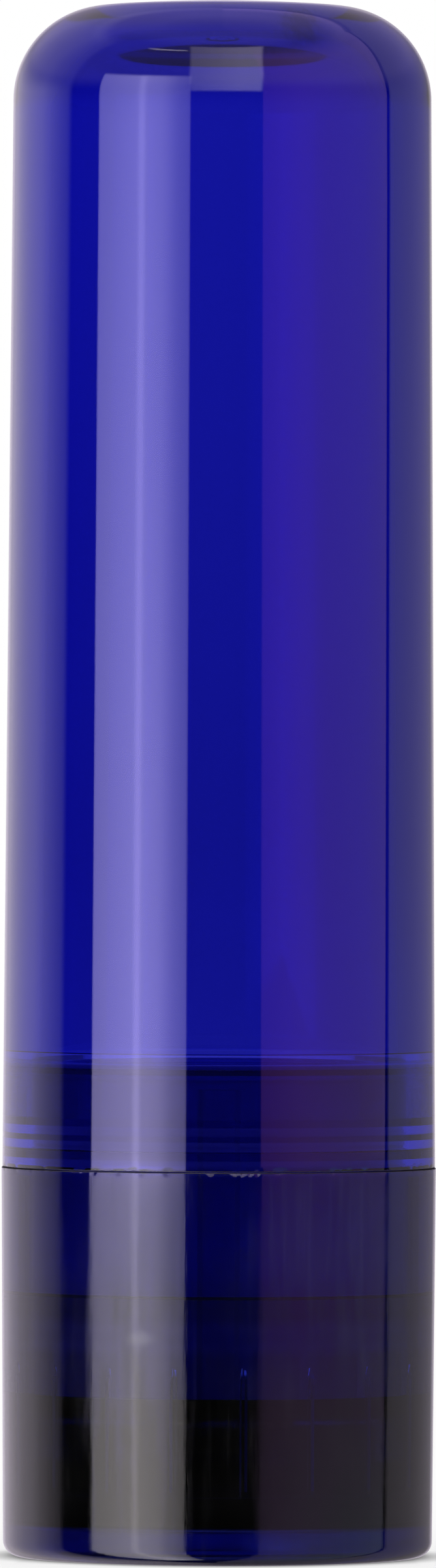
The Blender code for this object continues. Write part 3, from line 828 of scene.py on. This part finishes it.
def build_carrier():
    bottom = carrier_low.z - GAP + SEAT
    hollow = carrier_radius - CARRIER_WALL
    plate_low = carrier_high.z - NUT_HEIGHT
    plate_high = plate_low + CARRIER_PLATE
    nut_bore = CORE_RADIUS + GAP
    points = [(nut_bore, plate_low, SOFT), (hollow, plate_low, SOFT), (hollow, bottom, SOFT)]
    points += [(carrier_radius, bottom, SOFT), (carrier_radius, plate_high, SOFT)]
    points += [(FIN_RADIUS + NOTCH_STEP, plate_high), (FIN_RADIUS, plate_high)]
    points += [(NUT_RADIUS + FIN_ROOT, plate_high), (NUT_RADIUS, plate_high + FIN_HEIGHT)]
    points += [(NUT_RADIUS, carrier_high.z, SOFT), (nut_bore, carrier_high.z, SOFT)]
    points += [(nut_bore, plate_low + 2 * SOFT)]
    outline = divided(rounded(points), longest=0.15 * MM)

    def relief(r, z, angle):
        if r > FIN_RADIUS + NOTCH_STEP + TOUCH:
            return notched(r, angle), z
        if abs(z - plate_high) < TOUCH and NUT_RADIUS < r < FIN_RADIUS + TOUCH:
            return r, z + FIN_HEIGHT * fin(angle, r, FIN_THICKNESS)
        if r < NUT_RADIUS:
            groove = thread_height(z, angle, GAP)
            return r + groove * (NUT_RADIUS - r) / (NUT_RADIUS - nut_bore), z
        return r, z

    return turned("carrier_nut", outline, relief, segments=360)


dress(build_carrier(), carrier_blue, "carrier", "inner_blue", "carrier")

# Balm

BALM_CROWN = 0.3 * MM
BALM_ROUND = 0.3 * MM
BALM_EDGE = 0.25 * MM
POURED_DEPTH = 0.2 * MM
SINK_RADIUS = 1.6 * MM
SINK_DEPTH = 0.12 * MM
SWELL_HEIGHT = 0.03 * MM
PIT_DEPTH = 0.008 * MM
FIN_NOTCH_SHARE = 0.99


def poured(radius, angle):
    """How far the top of the balm rises or sinks as it sets."""
    sink = soft_step(radius, 0.0, SINK_RADIUS) - 1.0
    swell = grain(angle, 0.0, radius, waves=420.0, seed=2.0)
    pits = grain(angle, 0.0, radius, waves=1500.0, seed=4.0)
    return sink * SINK_DEPTH + swell * SWELL_HEIGHT + pits * PIT_DEPTH


def build_balm():
    bottom = balm_low.z - GAP + SEAT
    edge = balm_high.z - BALM_CROWN
    screw_end = screw_high.z + GAP
    nut_end = carrier_high.z + GAP
    nut_hollow = NUT_RADIUS + GAP
    notch_end = FIN_RADIUS + GAP
    notch_top = bottom + FIN_HEIGHT
    rail_end = rail_top + GAP
    points = [(0.0, screw_end), (screw_hole, screw_end), (screw_hole, nut_end)]
    points += [(nut_hollow, nut_end), (nut_hollow, notch_top), (nut_hollow, bottom)]
    points += [(notch_end, bottom), (notch_end + NOTCH_STEP, bottom), (carrier_radius, bottom)]
    points += [(carrier_radius, rail_end), (carrier_radius, rail_end + NOTCH_STEP)]
    points += [(carrier_radius, edge, BALM_EDGE)]
    points += crown(carrier_radius - BALM_ROUND, edge, BALM_CROWN * 0.8, steps=22)
    outline = divided(rounded(points), longest=0.5 * MM)

    def relief(r, z, angle):
        if r > notch_floor and z <= rail_end:
            return notched(r, angle), z
        if z < notch_top and nut_hollow - TOUCH < r < notch_end + TOUCH:
            notch = fin(angle, r, FIN_THICKNESS + 2 * GAP)
            return r, z + (notch_top - z) * FIN_NOTCH_SHARE * notch
        if z > edge - POURED_DEPTH:
            return r, z + poured(r, angle)
        return r, z

    return turned("balm_cast", outline, relief, segments=240)


dress(build_balm(), wax, "carrier", "wax", "balm")

# Floor

FLOOR_SIZE = 1.25
FLOOR_MIX = 0.3
FOOT_SHADE = 0.12
FOOT_SHADE_REACH = 1.5 * MM
SHADOW_SHADE = 0.32
SHADOW_MIDDLE = 35.0 * MM


def build_floor():
    """A pale floor, dim under the stick and in the soft shadow behind it."""
    bpy.ops.mesh.primitive_plane_add(size=FLOOR_SIZE, location=(0.0, 0.0, 0.0))
    floor = bpy.context.object
    floor.name = "studio_floor"
    material = bpy.data.materials.new("pale_floor")
    material.use_nodes = True
    nodes = Nodes(material.node_tree)
    output = nodes.add("ShaderNodeOutputMaterial")
    place = nodes.add("ShaderNodeTexCoord").outputs["Object"]
    mottle = nodes.fade(nodes.noise(place, 9.0, 2.0), 0.3, 0.7, 0.97, 1.0)
    paper = nodes.add("ShaderNodeBsdfDiffuse", {"Color": nodes.grey(mottle)})

    radius, _ = nodes.radius_and_height(place)
    inner = base_high.x - FOOT_SHADE_REACH
    outer = base_high.x + FOOT_SHADE_REACH
    beside = nodes.fade(radius, inner, outer, FOOT_SHADE, 1.0)
    aside, behind, _ = nodes.add("ShaderNodeSeparateXYZ", {0: place}).outputs
    across = nodes.fade(nodes.math("ABSOLUTE", aside), 7.5 * MM, 9.2 * MM)
    along = nodes.math("ABSOLUTE", nodes.math("SUBTRACT", behind, SHADOW_MIDDLE))
    along = nodes.fade(along, 25.0 * MM, 45.0 * MM)
    clear = nodes.math("MAXIMUM", across, along)
    lit = nodes.product(beside, nodes.math("MULTIPLY_ADD", clear, 1.0 - SHADOW_SHADE, SHADOW_SHADE))
    glow = nodes.add("ShaderNodeEmission", {"Color": WHITE, "Strength": lit})
    dim = nodes.add("ShaderNodeMixShader", {"Fac": FLOOR_MIX, 1: glow.outputs[0], 2: paper.outputs[0]})
    nodes.tree.links.new(dim.outputs[0], output.inputs["Surface"])
    floor.data.materials.append(material)
    floor.visible_glossy = False


build_floor()

# Studio

CEILING_COLOUR = (0.95, 0.78, 1.2)
WALL_COLOUR = (1.0, 0.9, 1.05)
ROOM_SHADE = (0.95, 0.95, 0.95, 1.0)
DARK_CORNER = 0.013
KEY_MIDDLE = -45.0
FILL_EDGE = 100.4
FILL_LEAN = 25.0
FILL_EDGE_TOP = 48.0
STRIP_TILT = -1.5


class Studio(Nodes):
    """The white studio: what the plastic mirrors, and what shows through it, by direction.

    Azimuth is in degrees from the front, -Y, towards +X, and elevation is in degrees from the horizon.
    """

    def __init__(self, tree):
        super().__init__(tree)
        direction = self.add("ShaderNodeTexCoord").outputs["Generated"]
        self.side, self.depth, up = self.add("ShaderNodeSeparateXYZ", {0: direction}).outputs
        turn = self.math("ARCTAN2", self.side, self.product(self.depth, -1.0))
        self.azimuth = self.product(turn, math.degrees(1.0))
        self.elevation = self.product(self.math("ARCSINE", up), math.degrees(1.0))

    def across(self, low, high, bottom, top):
        """A straight change as the azimuth goes from low to high."""
        return self.line(self.azimuth, low, high, bottom, top)

    def upwards(self, low, high, bottom, top):
        """A straight change as the elevation goes from low to high."""
        return self.line(self.elevation, low, high, bottom, top)

    def fade_up(self, low, high, bottom, top):
        """A smooth change as the elevation goes from low to high."""
        return self.fade(self.elevation, low, high, bottom, top)

    def window(self, value, low, high, edge):
        """1 from low to high and 0 outside, with soft edges."""
        rise = self.fade(value, low - edge, low + edge)
        return self.math("SUBTRACT", rise, self.fade(value, high - edge, high + edge))

    def card(self, left, right, bottom, top, edge, soft):
        """Where a card or softbox stands, 1 on it and 0 beside it."""
        across = self.window(self.azimuth, left, right, edge)
        return self.product(across, self.window(self.elevation, bottom, top, soft))

    def coloured(self, lights):
        """One colour from several lights, each given as its brightness and its tint."""
        channels = {}
        for channel in range(3):
            shares = [self.product(light, tint[channel]) for light, tint in lights]
            channels[channel] = self.total(*shares, DARK_CORNER)
        return self.add("ShaderNodeCombineColor", channels).outputs[0]


def key_light(studio):
    """The key softbox, to the left of the camera, with a hot line down its middle."""
    off_middle = studio.math("ABSOLUTE", studio.math("SUBTRACT", studio.azimuth, KEY_MIDDLE))
    panel = studio.total(
        studio.across(-72.0, -45.0, 2.1, 3.35),
        studio.across(-44.0, -33.0, 0.0, -0.55),
        studio.across(-33.0, -25.0, 0.0, -1.1),
        studio.across(-25.0, -18.0, 0.0, -0.5),
        studio.fade(off_middle, 0.3, 3.4, 1.0, 0.0),
    )
    return studio.product(
        panel,
        studio.upwards(-4.0, 4.0, 1.33, 0.72),
        studio.upwards(-2.8, -1.9, 0.78, 1.17),
        studio.upwards(-1.3, -0.9, 1.0, 0.88),
        studio.card(-71.7, -17.6, -75.0, 21.5, 0.7, 2.0),
    )


def past_fill(studio):
    """How many degrees a direction is past the dark edge of the fill. The edge leans out, up to its top."""
    rise = studio.math("POWER", studio.upwards(0.0, 47.0, 0.0, 1.0), 3.0)
    past = studio.math("SUBTRACT", studio.azimuth, studio.math("MULTIPLY_ADD", rise, FILL_LEAN, FILL_EDGE))
    past = studio.math("SUBTRACT", past, studio.upwards(-1.0, 2.4, 0.0, 3.4))
    return studio.math("MINIMUM", past, studio.math("SUBTRACT", FILL_EDGE_TOP, studio.elevation))


def fill_light(studio, past):
    """The fill softbox, wide and dim, to the right."""
    return studio.product(
        studio.across(22.0, 45.0, 0.3, 0.44),
        studio.window(studio.azimuth, 22.3, 181.0, 0.6),
        studio.fade(past, -1.1, -0.1, 1.0, 0.0),
        studio.upwards(-1.2, -1.1, 0.9, 1.22),
        studio.fade_up(40.0, 60.0, 1.0, 0.1),
    )


def right_wall(studio, past):
    """The wall beyond the dark edge of the fill softbox."""
    return studio.product(
        studio.across(110.0, 165.0, 0.41, 0.26),
        studio.fade(past, 1.0, 3.4),
        studio.fade_up(5.0, 16.0, 1.0, 0.6),
    )


def left_wall(studio):
    """The wall behind on the left."""
    return studio.product(
        studio.across(-90.0, -118.0, 0.2, 1.0),
        studio.across(-180.0, -155.0, 0.3, 1.0),
        studio.fade_up(4.0, 15.0, 1.0, 0.42),
        studio.card(-190.0, -93.0, -75.0, 50.0, 2.5, 4.0),
    )


def lamps_above(studio):
    """A panel above the camera, and a narrow strip lamp to its left."""
    offset = studio.math("DIVIDE", studio.side, studio.upwards(24.0, 80.0, 0.35, 0.24))
    in_front = studio.fade(studio.depth, -0.1, 0.1, 1.0, 0.0)
    panel = studio.product(
        studio.window(offset, -0.85, 1.05, 0.06),
        studio.line(offset, -0.7, 0.5, 0.7, 1.2),
        studio.window(studio.elevation, 5.5, 59.0, 1.5),
        in_front,
        1.35,
    )
    tilted = studio.math("MULTIPLY_ADD", offset, STRIP_TILT, studio.elevation)
    strip = studio.product(
        studio.window(tilted, 54.0, 55.6, 0.3),
        studio.window(offset, -1.75, -0.95, 0.08),
        in_front,
        2.2,
    )
    return studio.total(panel, strip)


def ceiling_light(studio):
    """The ceiling, brighter overhead and at the back."""
    at_back = studio.fade(studio.depth, -0.1, 0.5, 0.0, 0.3)
    return studio.total(
        studio.fade_up(6.0, 20.0, 0.0, 0.24),
        studio.fade_up(55.0, 70.0, 0.0, 0.15),
        studio.product(at_back, studio.fade_up(44.0, 52.0, 0.0, 1.0)),
    )


def mirrored_light(studio, key):
    """What the plastic mirrors. The tints of the key and the fill change with the direction."""
    past = past_fill(studio)
    backdrop = studio.product(studio.fade(studio.depth, 0.93, 0.985), 0.35)
    walls = studio.total(right_wall(studio, past), left_wall(studio), lamps_above(studio), backdrop)
    key_green = studio.upwards(-2.8, -1.7, 1.03, 0.98)
    key_blue = studio.total(
        studio.upwards(-2.8, -2.4, 1.05, 1.5),
        studio.upwards(-1.7, -1.45, 0.0, 0.65),
        studio.upwards(-1.2, -1.05, 0.0, -0.45),
    )
    fill_green = studio.total(
        studio.across(25.0, 100.0, 0.3, 0.62),
        studio.upwards(-3.6, -2.8, 0.4, -0.05),
        studio.upwards(-2.2, -1.6, 0.0, 0.05),
        studio.upwards(-1.25, -1.15, 0.07, 0.0),
    )
    fill_green = studio.math("MAXIMUM", fill_green, 0.04)
    return studio.coloured(
        [
            (key, (1.1, key_green, key_blue)),
            (fill_light(studio, past), (0.95, fill_green, 1.15)),
            (ceiling_light(studio), CEILING_COLOUR),
            (walls, WALL_COLOUR),
        ]
    )


def light_through(studio, key):
    """What shows through: the backdrop, a little brighter on the left and upwards, over the table."""
    above = studio.fade_up(-1.24, -1.16, 0.0, 1.0)
    below = studio.math("SUBTRACT", 1.0, above)
    backdrop = studio.product(
        studio.upwards(-0.8, 2.2, 0.83, 1.17),
        studio.fade_up(6.0, 25.0, 1.0, 0.8),
        above,
    )
    table = studio.fade(studio.math("ABSOLUTE", studio.side), 0.25, 0.5, 0.95, 0.5)
    behind = studio.line(studio.side, -0.6, 0.6, 1.16, 0.66)
    behind = studio.product(behind, studio.total(backdrop, studio.product(table, below)))
    front = studio.math("MAXIMUM", key, 0.6)
    far = studio.fade(studio.depth, -0.2, 0.2)
    near = studio.math("SUBTRACT", 1.0, far)
    return studio.total(studio.product(behind, far), studio.product(front, near))


def build_world():
    world = bpy.data.worlds.new("white_studio")
    bpy.context.scene.world = world
    world.use_nodes = True
    world.cycles.sampling_method = "NONE"
    studio = Studio(world.node_tree)
    output = studio.add("ShaderNodeOutputWorld")
    key = key_light(studio)
    ray = studio.add("ShaderNodeLightPath").outputs
    light = studio.blend(ray["Is Camera Ray"], ROOM_SHADE, WHITE)
    light = studio.blend(ray["Is Glossy Ray"], light, mirrored_light(studio, key))
    light = studio.blend(ray["Is Transmission Ray"], light, studio.grey(light_through(studio, key)))
    background = studio.add("ShaderNodeBackground", {"Color": light, "Strength": 1.0})
    studio.tree.links.new(background.outputs[0], output.inputs["Surface"])


build_world()

# Camera

PHOTO_HEIGHT_PX = 2400
HORIZON_ROW_PX = 1127.6
FOCAL_LENGTH_PX = 24670.0
SENSOR_MM = 36.0
CAMERA_DISTANCE = 726.0 * MM
CAMERA_HEIGHT = 36.9 * MM
CAMERA_ASIDE = -0.1 * MM
CAMERA_ROLL = math.radians(0.2)


def build_camera():
    data = bpy.data.cameras.new("photo_camera")
    data.sensor_fit = "VERTICAL"
    data.sensor_height = SENSOR_MM
    data.sensor_width = SENSOR_MM
    data.lens = FOCAL_LENGTH_PX * SENSOR_MM / PHOTO_HEIGHT_PX
    camera = bpy.data.objects.new("photo_camera", data)
    bpy.context.scene.collection.objects.link(camera)
    pitch = math.atan((PHOTO_HEIGHT_PX / 2 - HORIZON_ROW_PX) / FOCAL_LENGTH_PX)
    camera.location = (CAMERA_ASIDE, -CAMERA_DISTANCE, CAMERA_HEIGHT)
    camera.rotation_euler = (math.pi / 2 - pitch, -CAMERA_ROLL, 0.0)
    bpy.context.scene.camera = camera


build_camera()

# View, and enough bounces for light to pass through every wall of the clear plastic

scene = bpy.context.scene
scene.view_settings.view_transform = "Standard"
scene.cycles.max_bounces = 40
scene.cycles.transmission_bounces = 40
scene.cycles.glossy_bounces = 16
scene.cycles.diffuse_bounces = 4
scene.cycles.transparent_max_bounces = 64
